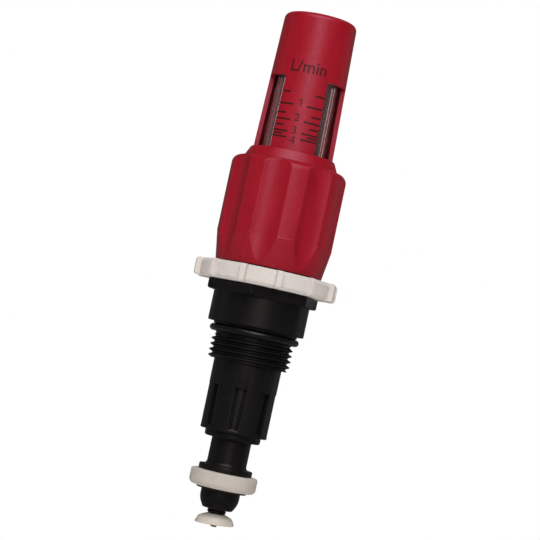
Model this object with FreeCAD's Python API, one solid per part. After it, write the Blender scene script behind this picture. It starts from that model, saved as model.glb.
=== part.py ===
"""Flow meter and balancing valve insert for a heating manifold, in millimetres.

The axis is +Z, and z = 0 is the top end of the M22 x 1.5 manifold thread. Everything is shown with the
valve closed and no flow. Angles are measured in plan from the front, -Y, and grow towards +X.
"""
import FreeCAD, Part
import math
import os

Vector = FreeCAD.Vector
ORIGIN = Vector(0, 0, 0)
UP = Vector(0, 0, 1)

# ---- driving dimensions -------------------------------------------------------------------------

# manifold thread and body
THREAD_R = 11.0              # M22 x 1.5, over the crests
THREAD_LENGTH = 5.75
THREAD_LEAD_IN = 0.6
RELIEF_R = 10.15             # run-out above the thread
RELIEF_Z = (0.5, 0.7)
SEAT_NECK_R = 10.35          # under the manifold O-ring
SEAT_NECK_TOP_Z = 2.6
UNDERCUT_R = 11.3
UNDERCUT_Z = 2.75
SHOULDER_R = 13.0
SHOULDER_Z = 3.4             # face that stops on the manifold's boss
HEX_ACROSS_FLATS = 27.0
HEX_CORNER_R = 15.55
HEX_Z = (11.5, 14.2)
HEX_CORNER_AT = 47.3
HEX_BOTTOM_ROUND = 0.8
RING_SEAT_R = 12.4
BEAD_R = 12.7                # keeps the lock ring down
BEAD_Z = (19.15, 19.42)
NECK_R = 12.0
NECK_TOP_Z = 35.0
GUIDE_R = (9.15, 9.0)        # fluted guide, top and bottom
GUIDE_END_Z = -25.0
BODY_END_R = 7.5
BODY_END_Z = -26.75
BODY_END_ROUND = 0.6
SLOT_COUNT = 8
SLOT_FIRST_AT = -2.0
SLOT_WIDTH = (2.4, 3.2)      # bottom and top
SLOT_FLOOR_R = 7.3
SLOT_Z = (-24.4, -13.0)
SLOT_RAMP_HEIGHT = 0.5       # of the sloping lower end
SLOT_RIB_WIDTH = (1.1, 1.7)
SLOT_RIB_R = 8.35
GUIDE_BORE_TOP_Z = -0.5

# play and rounding
RUNNING_FIT = 0.05
THREAD_CLEARANCE = 0.5       # between the end of a thread and the step it runs towards
SMALL_ROUND = 0.3

# valve stem
STEM_R = 5.325
STEM_BORE_R = 3.4
ROD_BORE_R = 1.55            # where the rod passes with room for water
STEM_HEAD_R = 5.32
STEM_HEAD_Z = (3.9, 6.0)
STEM_NECK_R = 4.35
STEM_NECK_LENGTH = 3.4
KEY_COUNT = 4
KEY_WIDTH = 2.0
KEY_R = 6.7
KEY_Z = (-10.5, -3.0)
KEY_PLAY = 0.35
KEY_GROOVE_BOTTOM_Z = -12.0

# spindle
LIFT = 3.75                  # two and a half turns at 1.5 mm
SKIRT_R = 6.95               # below its thread
HEAD_PLAY = 0.08             # around the stem's head
SPINDLE_THREAD_R = 8.95
SPINDLE_THREAD_Z = (16.0, 28.4)
SPINDLE_NECK_R = 7.9
SPINDLE_BOTTOM_Z = 2.0
SPINDLE_TOP_Z = 42.0
SPINDLE_COLLAR_R = 10.8
SPINDLE_COLLAR_Z = 36.5
SWIVEL_CLIP_Z = (2.8, 3.5)
SWIVEL_CLIP_R = (4.7, 5.95)
SWIVEL_CLIP_GAP = 3.0
STOP_RING_BOTTOM_Z = SPINDLE_THREAD_Z[1] + LIFT + 0.25
STOP_RING_Z = (STOP_RING_BOTTOM_Z, STOP_RING_BOTTOM_Z + 1.0)
STOP_RING_R = (8.25, 9.6)
STOP_RING_GAP = 5.0

# O-rings: outside radius, radius of the section, height, radius of the groove's floor
MANIFOLD_O_RING = (12.1, 0.9, 1.7, SEAT_NECK_R)
SPINDLE_O_RING = (SKIRT_R, 0.8, 10.0, 5.45)
STEM_O_RING = (STEM_R, 0.61, -18.0, 4.15)
GROOVE_SIDE_PLAY = 0.15
GLASS_O_RING_SECTION = 0.8
GLASS_GROOVE_R = (7.7, 9.5)
GLASS_GROOVE_Z = 40.55

# sealing end
FLANGE_R = 7.2
FLANGE_Z = (-35.65, -34.1)
FLANGE_FILLET = 1.0
SEAL_R = 9.0
SEAL_Z = (-40.0, -35.65)
SEAL_ROUNDS = (1.4, 0.6)     # bottom and top edge
WASHER_R = 6.7
WASHER_THICKNESS = 0.5
SPIGOT_R = 4.2
SPIGOT_THREAD_R = 3.4
SPIGOT_END_Z = -44.0
RETAINER_R = 5.25
RETAINER_END_R = 4.0
RETAINER_END_Z = -45.5
RETAINER_END_ROUND = 0.5
RETAINER_NOSE_HEIGHT = 2.6
RETAINER_NOSE_ROUND = 5.0

# flow rod
ROD_R = 0.85
ROD_Z = (-50.3, 75.0)
GUIDE_BUSH_R = 2.2
DISC_R = 5.25
DISC_Z = (-49.5, -46.7)
DISC_TILT = 3.2
DISC_TILT_Z = -48.9          # height on the axis about which it is askew
DISC_LIP = 0.6               # width of the rim seen from below
HUB_R = 2.2
HUB_BEAD_R = 2.5
HUB_BEAD_Z = (-46.3, -45.9)
INDICATOR_R = 5.6
INDICATOR_Z = (70.9, 75.4)
INDICATOR_WALL = 1.2
INDICATOR_DEPTH = 1.5        # of the hollow below
BUSH_FLANGE_R = 4.6
BUSH_FLANGE_HEIGHT = 0.8
BUSH_DEPTH = 5.0
WATER_HOLE_R = 0.6
WATER_HOLE_COUNT = 3
SPRING_Z = (-29.5, 10.0)
SPRING_MEAN_R = 2.35
SPRING_WIRE_R = 0.3
SPRING_WIRE_SIDES = 6
SPRING_TURNS = 9
SPRING_SEAT_R = 2.95
SPRING_SEAT_HEIGHT = 2.5
SPRING_SPIGOT_LENGTH = 1.2
SPRING_SPIGOT_PLAY = 0.15

# sight glass
GLASS_FOOT_R = 10.7
GLASS_FOOT_Z = (42.0, 43.6)
GLASS_R = (8.8, 8.15)        # outside, bottom and top
GLASS_WALL = 1.5
GLASS_TOP_Z = 84.0
GLASS_TOP_ROUND = 2.0
NUT_R = 12.6
NUT_Z = (37.2, 44.7)
NUT_GLASS_PLAY = 0.1

# red handle
KNOB_R = 15.6
KNOB_Z = (19.5, 47.9)
KNOB_CREASE_Z = 27.4
KNOB_BOTTOM_R = 14.4
KNOB_TOP_ROUND = 2.2
SHELF_R = 12.8
SHELF_Z = 48.2
SHOULDER_TOP_R = 11.4
TUBE_FOOT_Z = 51.05
TUBE_R = (10.8, 9.78)        # outside, foot and top
HANDLE_TOP_Z = 88.4
HANDLE_TOP_ROUND = 1.7
HANDLE_TOP_THICKNESS = 1.6
TUBE_WALL = 1.2
CAVITY_R = 12.9
NUT_STEP = (0.8, 1.4)        # start and end of the cone below the nut
FLUTE_COUNT = 8
FLUTE_FIRST_AT = 33.1
FLUTE_FLOOR_R = 14.2
FLUTE_SCOOP_R = 7.5
FLUTE_RUNOUT_ANGLE = 3.0
WINDOW_COUNT = 3
WINDOW_FIRST_AT = 56.65
WINDOW_ANGLE = 53.7
WINDOW_Z = (51.1, 70.75)

# lock ring
RING_Z = (14.3, 19.05)
RING_R = 18.15               # between the ribs
RING_RIB_R = 19.5
RING_RIB_COUNT = 12
RING_RIB_FIRST_AT = 10.2
RING_RIB_WIDTH = 1.75
RING_RIB_ROUND = 0.9
RING_CHAMFER = 0.8


# ---- tools --------------------------------------------------------------------------------------

def outline(points):
    """Closed wire in the XZ plane through (r, z) or (r, z, corner radius) points."""
    ends = []
    count = len(points)
    for i, point in enumerate(points):
        corner = Vector(point[0], 0, point[1])
        radius = point[2] if len(point) > 2 else 0
        if not radius:
            ends.append((corner, None, corner))
            continue
        before = points[i - 1]
        after = points[(i + 1) % count]
        back = (Vector(before[0], 0, before[1]) - corner).normalize()
        ahead = (Vector(after[0], 0, after[1]) - corner).normalize()
        half = back.getAngle(ahead) / 2
        reach = radius / math.tan(half)
        middle = corner + (back + ahead).normalize() * (radius / math.sin(half) - radius)
        ends.append((corner + back * reach, middle, corner + ahead * reach))
    edges = []
    for i, (start, middle, end) in enumerate(ends):
        if middle is not None:
            edges.append(Part.Arc(start, middle, end).toShape())
        following = ends[(i + 1) % count][0]
        if end.distanceToPoint(following) > 1e-6:
            edges.append(Part.makeLine(end, following))
    return Part.Wire(edges)


def turned(points):
    """Solid of revolution about Z of a closed outline."""
    return Part.Face(outline(points)).revolve(ORIGIN, UP, 360)


def tube(inner_r, outer_r, bottom_z, top_z):
    return turned([(inner_r, bottom_z), (outer_r, bottom_z), (outer_r, top_z), (inner_r, top_z)])


def disc(radius, bottom_z, top_z):
    return Part.makeCylinder(radius, top_z - bottom_z, Vector(0, 0, bottom_z))


def at_angle(shape, degrees):
    """Copy of a shape modelled along +X, turned to an angle measured from the front."""
    copy = shape.copy()
    copy.rotate(ORIGIN, UP, degrees - 90)
    return copy


def around(shape, count, first):
    """Copies of a shape modelled along +X, evenly spaced from the first angle."""
    return [at_angle(shape, first + i * 360 / count) for i in range(count)]


def radial_bar(width, inner_r, outer_r, bottom_z, top_z):
    """Straight bar along +X, centred on the X axis."""
    corner = Vector(inner_r, -width / 2, bottom_z)
    return Part.makeBox(outer_r - inner_r, width, top_z - bottom_z, corner)


def tapered_bar(widths, inner_r, outer_r, bottom_z, top_z):
    """Straight bar along +X, of one width at the bottom and another at the top."""
    corners = [(-widths[0], bottom_z), (widths[0], bottom_z), (widths[1], top_z), (-widths[1], top_z)]
    wire = Part.makePolygon([Vector(inner_r, y / 2, z) for y, z in corners + corners[:1]])
    return Part.Face(wire).extrude(Vector(outer_r - inner_r, 0, 0))


def o_ring(outer_r, section_r, z, floor_r):
    """O-ring of a round section, pressed flat against the floor of its groove."""
    ring = Part.makeTorus(outer_r - section_r, section_r, Vector(0, 0, z), UP)
    return ring.cut(disc(floor_r, z - 2 * section_r, z + 2 * section_r))


def groove_sides(ring):
    """Bottom and top height of an O-ring's groove."""
    half = ring[1] + GROOVE_SIDE_PLAY
    return ring[2] - half, ring[2] + half


def snap_ring(inner_r, outer_r, bottom_z, top_z, gap):
    """Flat ring, open at the back."""
    opening = at_angle(radial_bar(gap, 0, 2 * outer_r, bottom_z, top_z), 180)
    return tube(inner_r, outer_r, bottom_z, top_z).cut(opening)


# ---- fixed body ---------------------------------------------------------------------------------

def valve_body():
    guide_bore = STEM_R + RUNNING_FIT
    skirt_bore = SKIRT_R + RUNNING_FIT
    thread_bore = SPINDLE_THREAD_R + RUNNING_FIT
    groove_z = (STOP_RING_Z[0] - RUNNING_FIT, STOP_RING_Z[1] + RUNNING_FIT)
    thread_bottom_z = SPINDLE_THREAD_Z[0] - THREAD_CLEARANCE
    lead_in_z = -THREAD_LENGTH - THREAD_LEAD_IN
    body = turned([
        (guide_bore, BODY_END_Z),
        (BODY_END_R, BODY_END_Z, BODY_END_ROUND),
        (BODY_END_R, GUIDE_END_Z),
        (GUIDE_R[1], GUIDE_END_Z, SMALL_ROUND),
        (GUIDE_R[0], lead_in_z),
        (THREAD_R - THREAD_LEAD_IN, lead_in_z),
        (THREAD_R, -THREAD_LENGTH),
        (THREAD_R, 0),
        (RELIEF_R, 0),
        (RELIEF_R, RELIEF_Z[0]),
        (SEAT_NECK_R, RELIEF_Z[1]),
        (SEAT_NECK_R, SEAT_NECK_TOP_Z),
        (UNDERCUT_R, UNDERCUT_Z, 0.2),
        (UNDERCUT_R, SHOULDER_Z),
        (SHOULDER_R, SHOULDER_Z, SMALL_ROUND),
        (SHOULDER_R, HEX_Z[1]),
        (RING_SEAT_R, HEX_Z[1]),
        (RING_SEAT_R, BEAD_Z[0]),
        (BEAD_R, BEAD_Z[0]),
        (BEAD_R, BEAD_Z[1] - 0.1),
        (NECK_R, BEAD_Z[1]),
        (NECK_R, NECK_TOP_Z, SMALL_ROUND),
        (thread_bore, NECK_TOP_Z),
        (thread_bore, groove_z[1]),
        (STOP_RING_R[1], groove_z[1]),
        (STOP_RING_R[1], groove_z[0]),
        (thread_bore, groove_z[0]),
        (thread_bore, thread_bottom_z),
        (skirt_bore, thread_bottom_z),
        (skirt_bore, GUIDE_BORE_TOP_Z),
        (guide_bore, GUIDE_BORE_TOP_Z),
    ])
    body = body.fuse(hex_collar())
    return body.cut(guide_slots() + key_grooves()).removeSplitter()


def hex_collar():
    """Spanner hex with rounded corners and a rounded lower edge."""
    across_corners = HEX_ACROSS_FLATS / math.cos(math.pi / 6)
    corners = [Vector(across_corners / 2 * math.cos(i * math.pi / 3),
                      across_corners / 2 * math.sin(i * math.pi / 3), HEX_Z[0]) for i in range(7)]
    prism = Part.Face(Part.makePolygon(corners)).extrude(Vector(0, 0, HEX_Z[1] - HEX_Z[0]))
    envelope = turned([(STEM_R, HEX_Z[0]), (HEX_CORNER_R, HEX_Z[0], HEX_BOTTOM_ROUND),
                       (HEX_CORNER_R, HEX_Z[1], SMALL_ROUND), (STEM_R, HEX_Z[1])])
    bore = disc(THREAD_R, HEX_Z[0], HEX_Z[1])
    return at_angle(prism, HEX_CORNER_AT).common(envelope).cut(bore)


def guide_slots():
    """Eight blind slots that narrow down the guide, each with a rib left standing on its floor and
    a sloping lower end."""
    outer_r = GUIDE_R[0] + 1
    slot = tapered_bar(SLOT_WIDTH, SLOT_FLOOR_R, outer_r, *SLOT_Z)
    slot = slot.cut(tapered_bar(SLOT_RIB_WIDTH, SLOT_FLOOR_R, SLOT_RIB_R, *SLOT_Z))
    ramp_z = (SLOT_Z[0], SLOT_Z[0] + SLOT_RAMP_HEIGHT)
    ramp = turned([(SLOT_FLOOR_R - 1, ramp_z[0]), (GUIDE_R[1], ramp_z[0]),
                   (SLOT_FLOOR_R, ramp_z[1]), (SLOT_FLOOR_R - 1, ramp_z[1])])
    return [cutter.cut(ramp) for cutter in around(slot, SLOT_COUNT, SLOT_FIRST_AT)]


def key_grooves():
    """Grooves that let the stem's keys slide but not turn."""
    groove = radial_bar(KEY_WIDTH + 2 * KEY_PLAY, STEM_BORE_R, KEY_R + KEY_PLAY,
                        KEY_GROOVE_BOTTOM_Z, GUIDE_BORE_TOP_Z)
    return around(groove, KEY_COUNT, 0)


def manifold_o_ring():
    return o_ring(*MANIFOLD_O_RING)


def lift_stop_ring():
    return snap_ring(*STOP_RING_R, *STOP_RING_Z, STOP_RING_GAP)


def lock_ring():
    """Finger ring with twelve narrow ribs on its rim."""
    bore = RING_SEAT_R + RUNNING_FIT
    bottom, top = RING_Z
    rim = turned([(bore, bottom), (RING_R - RING_CHAMFER, bottom), (RING_R, bottom + RING_CHAMFER),
                  (RING_R, top - RING_CHAMFER), (RING_R - RING_CHAMFER, top), (bore, top)])
    envelope = turned([(bore, bottom), (RING_RIB_R, bottom, RING_RIB_ROUND),
                       (RING_RIB_R, top, RING_RIB_ROUND), (bore, top)])
    rib = radial_bar(RING_RIB_WIDTH, RING_R - 2 * RING_CHAMFER, RING_RIB_R + 1, bottom, top)
    ribs = [bar.common(envelope) for bar in around(rib, RING_RIB_COUNT, RING_RIB_FIRST_AT)]
    return rim.fuse(ribs).removeSplitter()


# ---- stem, which slides -------------------------------------------------------------------------

def valve_stem():
    """Hollow stem: head for the swivel, keyed guide, flange and stepped spigot."""
    spigot_step_z = SEAL_Z[0] - WASHER_THICKNESS
    groove_r = STEM_O_RING[3]
    groove_z = groove_sides(STEM_O_RING)
    neck_bottom_z = STEM_HEAD_Z[0] - STEM_NECK_LENGTH
    stem = turned([
        (ROD_BORE_R, spigot_step_z),
        (GUIDE_BUSH_R, spigot_step_z),
        (GUIDE_BUSH_R, SPIGOT_END_Z),
        (SPIGOT_THREAD_R, SPIGOT_END_Z),
        (SPIGOT_THREAD_R, spigot_step_z),
        (SPIGOT_R, spigot_step_z),
        (SPIGOT_R, FLANGE_Z[0]),
        (FLANGE_R, FLANGE_Z[0], 0.2),
        (FLANGE_R, FLANGE_Z[1], 0.2),
        (STEM_R, FLANGE_Z[1], FLANGE_FILLET),
        (STEM_R, groove_z[0]),
        (groove_r, groove_z[0]),
        (groove_r, groove_z[1]),
        (STEM_R, groove_z[1]),
        (STEM_R, neck_bottom_z),
        (STEM_NECK_R, neck_bottom_z),
        (STEM_NECK_R, STEM_HEAD_Z[0]),
        (STEM_HEAD_R, STEM_HEAD_Z[0]),
        (STEM_HEAD_R, STEM_HEAD_Z[1]),
        (STEM_BORE_R, STEM_HEAD_Z[1]),
        (STEM_BORE_R, SPRING_Z[0]),
        (ROD_BORE_R, SPRING_Z[0]),
    ])
    key = radial_bar(KEY_WIDTH, STEM_NECK_R, KEY_R, *KEY_Z)
    return stem.fuse(around(key, KEY_COUNT, 0)).removeSplitter()


def stem_o_ring():
    return o_ring(*STEM_O_RING)


def valve_seal():
    return turned([(SPIGOT_R, SEAL_Z[0]), (SEAL_R, SEAL_Z[0], SEAL_ROUNDS[0]),
                   (SEAL_R, SEAL_Z[1], SEAL_ROUNDS[1]), (SPIGOT_R, SEAL_Z[1])])


def seal_washer():
    return tube(SPIGOT_R, WASHER_R, SEAL_Z[0] - WASHER_THICKNESS, SEAL_Z[0])


def seal_retainer():
    """Round-nosed nut on the end of the stem."""
    top_z = SEAL_Z[0] - WASHER_THICKNESS
    return turned([
        (GUIDE_BUSH_R, RETAINER_END_Z),
        (RETAINER_END_R, RETAINER_END_Z, RETAINER_END_ROUND),
        (RETAINER_R, RETAINER_END_Z + RETAINER_NOSE_HEIGHT, RETAINER_NOSE_ROUND),
        (RETAINER_R, top_z),
        (SPIGOT_THREAD_R, top_z),
        (SPIGOT_THREAD_R, SPIGOT_END_Z),
        (GUIDE_BUSH_R, SPIGOT_END_Z),
    ])


def rod_guide_lower():
    return tube(ROD_R + RUNNING_FIT, GUIDE_BUSH_R, RETAINER_END_Z, SEAL_Z[0] - WASHER_THICKNESS)


def return_spring():
    """Coil spring with its ends resting on the stem's inner shoulder and under the spring seat."""
    bottom = SPRING_Z[0] + SPRING_WIRE_R
    height = SPRING_Z[1] - SPRING_Z[0] - 2 * SPRING_WIRE_R
    coil = Part.Wire(Part.makeHelix(height / SPRING_TURNS, height, SPRING_MEAN_R))
    coil.translate(Vector(0, 0, bottom))
    along = coil.Edges[0].tangentAt(0)
    outwards = Vector(1, 0, 0)
    centre = outwards * SPRING_MEAN_R + UP * bottom
    steps = [2 * math.pi * i / SPRING_WIRE_SIDES for i in range(SPRING_WIRE_SIDES)]
    corners = [centre + outwards * (SPRING_WIRE_R * math.cos(step))
               + along.cross(outwards) * (SPRING_WIRE_R * math.sin(step)) for step in steps]
    sweep = Part.BRepOffsetAPI.MakePipeShell(coil)
    sweep.setFrenetMode(True)
    sweep.add(Part.makePolygon(corners + corners[:1]))
    sweep.build()
    sweep.makeSolid()
    return sweep.shape()


# ---- handle, which turns on the stem ------------------------------------------------------------

def handle_tube_r(z):
    """Outside radius of the handle's tube, which tapers for the mould."""
    share = (z - TUBE_FOOT_Z) / (HANDLE_TOP_Z - TUBE_FOOT_Z)
    return TUBE_R[0] + share * (TUBE_R[1] - TUBE_R[0])


def handle_sleeve():
    """One moulding: fluted knob, shoulder, windowed tube and closed top."""
    cavity_top = HANDLE_TOP_Z - HANDLE_TOP_THICKNESS
    sleeve = turned([
        (CAVITY_R, KNOB_Z[0]),
        (KNOB_BOTTOM_R, KNOB_Z[0], SMALL_ROUND),
        (KNOB_R, KNOB_CREASE_Z),
        (KNOB_R, KNOB_Z[1], KNOB_TOP_ROUND),
        (SHELF_R, SHELF_Z, SMALL_ROUND),
        (SHOULDER_TOP_R, TUBE_FOOT_Z, SMALL_ROUND),
        (TUBE_R[0], TUBE_FOOT_Z),
        (TUBE_R[1], HANDLE_TOP_Z, HANDLE_TOP_ROUND),
        (0, HANDLE_TOP_Z),
        (0, cavity_top),
        (handle_tube_r(cavity_top) - TUBE_WALL, cavity_top, 2 * SMALL_ROUND),
        (TUBE_R[0] - TUBE_WALL, TUBE_FOOT_Z),
        (TUBE_R[0] - TUBE_WALL, NUT_Z[1]),
        (NUT_R, NUT_Z[1]),
        (NUT_R, NUT_Z[0] - NUT_STEP[0]),
        (CAVITY_R, NUT_Z[0] - NUT_STEP[1]),
    ])
    return sleeve.cut(finger_flutes() + windows()).removeSplitter()


def finger_flutes():
    """Eight scoops down the knob that run out to a point below the crease."""
    axis_r = FLUTE_FLOOR_R + FLUTE_SCOOP_R
    scoop = Part.makeCylinder(FLUTE_SCOOP_R, TUBE_FOOT_Z - KNOB_CREASE_Z,
                              Vector(axis_r, 0, KNOB_CREASE_Z))
    outwards = math.tan(math.radians(FLUTE_RUNOUT_ANGLE))
    drop = 1.5 * (KNOB_CREASE_Z - KNOB_Z[0])
    runout = Part.makeCylinder(FLUTE_SCOOP_R, 2 * drop,
                               Vector(axis_r - outwards * drop, 0, KNOB_CREASE_Z + drop),
                               Vector(outwards, 0, -1))
    runout = runout.common(disc(2 * axis_r, KNOB_CREASE_Z - drop, KNOB_CREASE_Z))
    return around(scoop.fuse(runout), FLUTE_COUNT, FLUTE_FIRST_AT)


def windows():
    """Three openings in the tube, each a slice of a circle in plan."""
    height = WINDOW_Z[1] - WINDOW_Z[0]
    slice_of_circle = Part.makeCylinder(2 * TUBE_R[0], height, Vector(0, 0, WINDOW_Z[0]), UP,
                                        WINDOW_ANGLE)
    slice_of_circle.rotate(ORIGIN, UP, -WINDOW_ANGLE / 2)
    return around(slice_of_circle, WINDOW_COUNT, WINDOW_FIRST_AT)


def spindle():
    """Hollow spindle: skirt with the swivel, lifting thread, neck and glass seat."""
    groove_r = SPINDLE_O_RING[3]
    groove_z = groove_sides(SPINDLE_O_RING)
    clip_z = (SWIVEL_CLIP_Z[0] - RUNNING_FIT, SWIVEL_CLIP_Z[1] + RUNNING_FIT)
    head_room_r = STEM_HEAD_R + HEAD_PLAY
    head_room_z = STEM_HEAD_Z[1] + HEAD_PLAY
    return turned([
        (head_room_r, SPINDLE_BOTTOM_Z),
        (SKIRT_R, SPINDLE_BOTTOM_Z, SMALL_ROUND),
        (SKIRT_R, groove_z[0]),
        (groove_r, groove_z[0]),
        (groove_r, groove_z[1]),
        (SKIRT_R, groove_z[1]),
        (SKIRT_R, SPINDLE_THREAD_Z[0]),
        (SPINDLE_THREAD_R, SPINDLE_THREAD_Z[0]),
        (SPINDLE_THREAD_R, SPINDLE_THREAD_Z[1]),
        (SPINDLE_NECK_R, SPINDLE_THREAD_Z[1]),
        (SPINDLE_NECK_R, SPINDLE_COLLAR_Z),
        (SPINDLE_COLLAR_R, SPINDLE_COLLAR_Z),
        (SPINDLE_COLLAR_R, SPINDLE_TOP_Z),
        (GLASS_GROOVE_R[1], SPINDLE_TOP_Z),
        (GLASS_GROOVE_R[1], GLASS_GROOVE_Z),
        (GLASS_GROOVE_R[0], GLASS_GROOVE_Z),
        (GLASS_GROOVE_R[0], SPINDLE_TOP_Z),
        (STEM_BORE_R, SPINDLE_TOP_Z),
        (STEM_BORE_R, head_room_z),
        (head_room_r, head_room_z),
        (head_room_r, clip_z[1]),
        (SWIVEL_CLIP_R[1], clip_z[1]),
        (SWIVEL_CLIP_R[1], clip_z[0]),
        (head_room_r, clip_z[0]),
    ])


def swivel_clip():
    return snap_ring(*SWIVEL_CLIP_R, *SWIVEL_CLIP_Z, SWIVEL_CLIP_GAP)


def spindle_o_ring():
    return o_ring(*SPINDLE_O_RING)


def sight_glass():
    """Clear closed tube with a clamping foot."""
    bottom_bore = GLASS_R[0] - GLASS_WALL
    top_bore = GLASS_R[1] - GLASS_WALL
    return turned([
        (bottom_bore, GLASS_FOOT_Z[0]),
        (GLASS_FOOT_R, GLASS_FOOT_Z[0]),
        (GLASS_FOOT_R, GLASS_FOOT_Z[1]),
        (GLASS_R[0], GLASS_FOOT_Z[1]),
        (GLASS_R[1], GLASS_TOP_Z, GLASS_TOP_ROUND),
        (0, GLASS_TOP_Z),
        (0, GLASS_TOP_Z - GLASS_WALL),
        (top_bore, GLASS_TOP_Z - GLASS_WALL, GLASS_TOP_ROUND / 2),
    ])


def glass_o_ring():
    """Squeezed between the groove's floor and the glass."""
    mean_r = (GLASS_GROOVE_R[0] + GLASS_GROOVE_R[1]) / 2
    mean_z = (GLASS_GROOVE_Z + SPINDLE_TOP_Z) / 2
    ring = Part.makeTorus(mean_r, GLASS_O_RING_SECTION, Vector(0, 0, mean_z), UP)
    return ring.common(disc(2 * mean_r, GLASS_GROOVE_Z, SPINDLE_TOP_Z))


def glass_nut():
    """Union nut over the foot of the glass; its rim drives the handle."""
    return turned([
        (SPINDLE_COLLAR_R, NUT_Z[0]),
        (NUT_R, NUT_Z[0]),
        (NUT_R, NUT_Z[1]),
        (GLASS_R[0] + NUT_GLASS_PLAY, NUT_Z[1]),
        (GLASS_R[0] + NUT_GLASS_PLAY, GLASS_FOOT_Z[1]),
        (SPINDLE_COLLAR_R, GLASS_FOOT_Z[1]),
    ])


def rod_guide_upper():
    """Flanged bush with three water holes."""
    bottom_z = SPINDLE_TOP_Z - BUSH_DEPTH
    top_z = SPINDLE_TOP_Z + BUSH_FLANGE_HEIGHT
    bush = turned([
        (ROD_R + RUNNING_FIT, bottom_z),
        (STEM_BORE_R, bottom_z),
        (STEM_BORE_R, SPINDLE_TOP_Z),
        (BUSH_FLANGE_R, SPINDLE_TOP_Z),
        (BUSH_FLANGE_R, top_z),
        (ROD_R + RUNNING_FIT, top_z),
    ])
    hole_at = Vector((ROD_R + STEM_BORE_R) / 2, 0, bottom_z)
    hole = Part.makeCylinder(WATER_HOLE_R, top_z - bottom_z, hole_at)
    return bush.cut(around(hole, WATER_HOLE_COUNT, 0))


# ---- float, which the flow pulls down -----------------------------------------------------------

def flow_rod():
    return turned([(0, ROD_Z[0]), (ROD_R, ROD_Z[0], SMALL_ROUND), (ROD_R, ROD_Z[1]), (0, ROD_Z[1])])


def flow_collar():
    """Short hub with a bead, between the retainer and the disc."""
    top_z = RETAINER_END_Z - 2 * RUNNING_FIT
    return turned([
        (ROD_R, DISC_Z[1]),
        (HUB_R, DISC_Z[1]),
        (HUB_BEAD_R, HUB_BEAD_Z[0], 0.15),
        (HUB_BEAD_R, HUB_BEAD_Z[1], 0.15),
        (HUB_R, top_z),
        (ROD_R, top_z),
    ])


def flow_disc():
    """Umbrella disc, hollow below, that sits a little askew on its rod."""
    bottom_z, top_z = DISC_Z
    dome = turned([
        (0, top_z + 0.35),
        (2.6, top_z + 0.05, 0.6),
        (4.5, top_z - 0.75, 1.2),
        (DISC_R, bottom_z + 0.35),
        (DISC_R, bottom_z, 0.15),
        (DISC_R - DISC_LIP, bottom_z, 0.15),
        (3.6, top_z - 1.6, 0.8),
        (HUB_R, top_z - 1.4),
        (HUB_R, bottom_z + 0.3),
        (0, bottom_z + 0.3),
    ])
    dome.rotate(Vector(0, 0, DISC_TILT_Z), Vector(0, 1, 0), -DISC_TILT)
    thickness = top_z - bottom_z
    rod_hole = disc(ROD_R, bottom_z - thickness, top_z + thickness)
    seat = disc(2 * DISC_R, top_z, top_z + thickness)
    return dome.cut([rod_hole, seat])


def spring_seat():
    """Collar on the rod, with a spigot that centres the spring."""
    bottom_z = SPRING_Z[1]
    top_z = bottom_z + SPRING_SEAT_HEIGHT
    spigot_r = SPRING_MEAN_R - SPRING_WIRE_R - SPRING_SPIGOT_PLAY
    return turned([
        (ROD_R, bottom_z - SPRING_SPIGOT_LENGTH),
        (spigot_r, bottom_z - SPRING_SPIGOT_LENGTH),
        (spigot_r, bottom_z),
        (SPRING_SEAT_R, bottom_z),
        (SPRING_SEAT_R, top_z),
        (ROD_R, top_z),
    ])


def indicator():
    """Bell-shaped marker; its lower edge reads the scale."""
    bottom_z, top_z = INDICATOR_Z
    inner_r = INDICATOR_R - INDICATOR_WALL
    return turned([
        (ROD_R, bottom_z + INDICATOR_DEPTH),
        (inner_r, bottom_z + INDICATOR_DEPTH),
        (inner_r, bottom_z),
        (INDICATOR_R, bottom_z),
        (INDICATOR_R, top_z, 2 * SMALL_ROUND),
        (0, top_z),
        (0, ROD_Z[1]),
        (ROD_R, ROD_Z[1]),
    ])


PIECES = [
    valve_body, manifold_o_ring, lift_stop_ring, lock_ring,
    valve_stem, stem_o_ring, valve_seal, seal_washer, seal_retainer, rod_guide_lower, return_spring,
    handle_sleeve, spindle, swivel_clip, spindle_o_ring, sight_glass, glass_o_ring, glass_nut,
    rod_guide_upper,
    flow_rod, flow_collar, flow_disc, spring_seat, indicator,
]

os.makedirs("parts", exist_ok=True)
for make in PIECES:
    shape = make()
    solids = shape.Solids
    if len(solids) != 1 or not solids[0].isValid():
        raise RuntimeError(f"{make.__name__}: {len(solids)} solids, valid {shape.isValid()}")
    solids[0].exportStep(f"parts/{make.__name__}.step")
    print(f"{make.__name__}: {solids[0].Volume:.1f} mm3")
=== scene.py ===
import math

import bmesh
import bpy
import numpy as np
from mathutils import Matrix, Vector


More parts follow.
